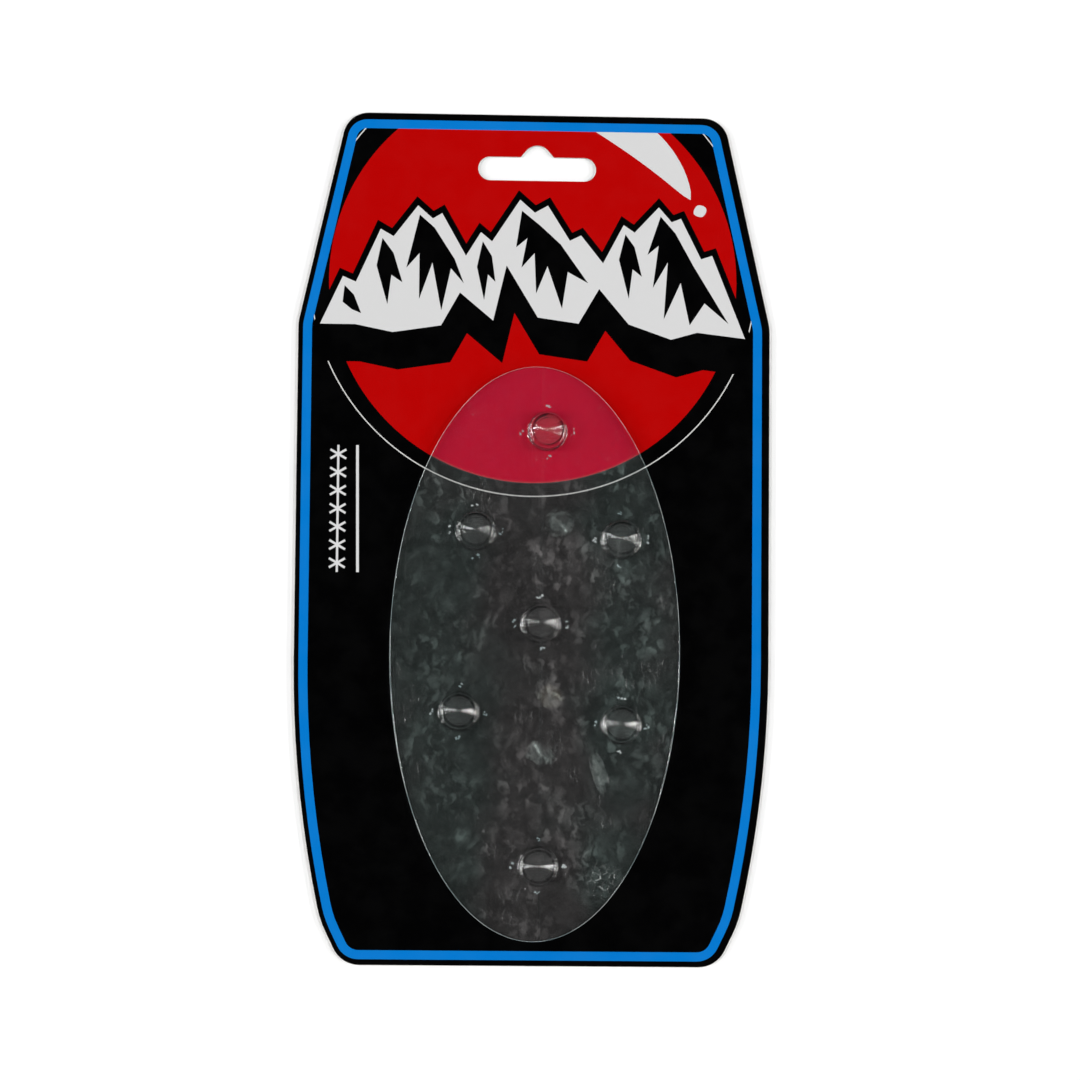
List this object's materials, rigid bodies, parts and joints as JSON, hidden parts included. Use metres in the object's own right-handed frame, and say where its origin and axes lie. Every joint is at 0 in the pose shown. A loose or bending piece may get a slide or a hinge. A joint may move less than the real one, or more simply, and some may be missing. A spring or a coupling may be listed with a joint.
{
  "type": "snowboard stomp pad",
  "caption": "Clear oval snowboard stomp pad with round studs, stuck by its peel-off liner to a printed hang card with a hang slot.",
  "frame": {"origin": "middle of the card's back face, which is the bottom centre of the bounding box", "axes": "+Z out of the card's printed face, the way the studs stand; +Y towards the hang slot; +X to the right as the card is read"},
  "size_m": [0.127, 0.2286, 0.0066],
  "materials": {
    "printed_board": "satin printed face, plain grey back",
    "hot_melt": "cloudy hot-melt glue",
    "liner_film": "clear glossy film",
    "adhesive": "clear tacky film with mottled wet-out",
    "clear_plastic": "clear glossy moulded plastic"
  },
  "bodies": {
    "card": {"header_card": "printed_board", "glue_spot_top": "hot_melt", "glue_spot_middle": "hot_melt", "glue_spot_low": "hot_melt", "glue_spot_side": "hot_melt"},
    "pad": {"adhesive_film": "adhesive", "pad_plate": "clear_plastic", "stud_top": "clear_plastic", "stud_upper_left": "clear_plastic", "stud_upper_right": "clear_plastic", "stud_centre": "clear_plastic", "stud_lower_left": "clear_plastic", "stud_lower_right": "clear_plastic", "stud_bottom": "clear_plastic"},
    "liner_half_left": {"liner_left": "liner_film"},
    "liner_half_right": {"liner_right": "liner_film"}
  },
  "joints": [
    {"name": "pad_lift", "type": "slide", "parent": "card", "child": "pad", "axis": [0, 0, 1], "range_m": [0, 0.05]},
    {"name": "liner_left_peel", "type": "slide", "parent": "pad", "child": "liner_half_left", "axis": [-1, 0, 0], "range_m": [0, 0.045]},
    {"name": "liner_right_peel", "type": "slide", "parent": "pad", "child": "liner_half_right", "axis": [1, 0, 0], "range_m": [0, 0.045]}
  ]
}
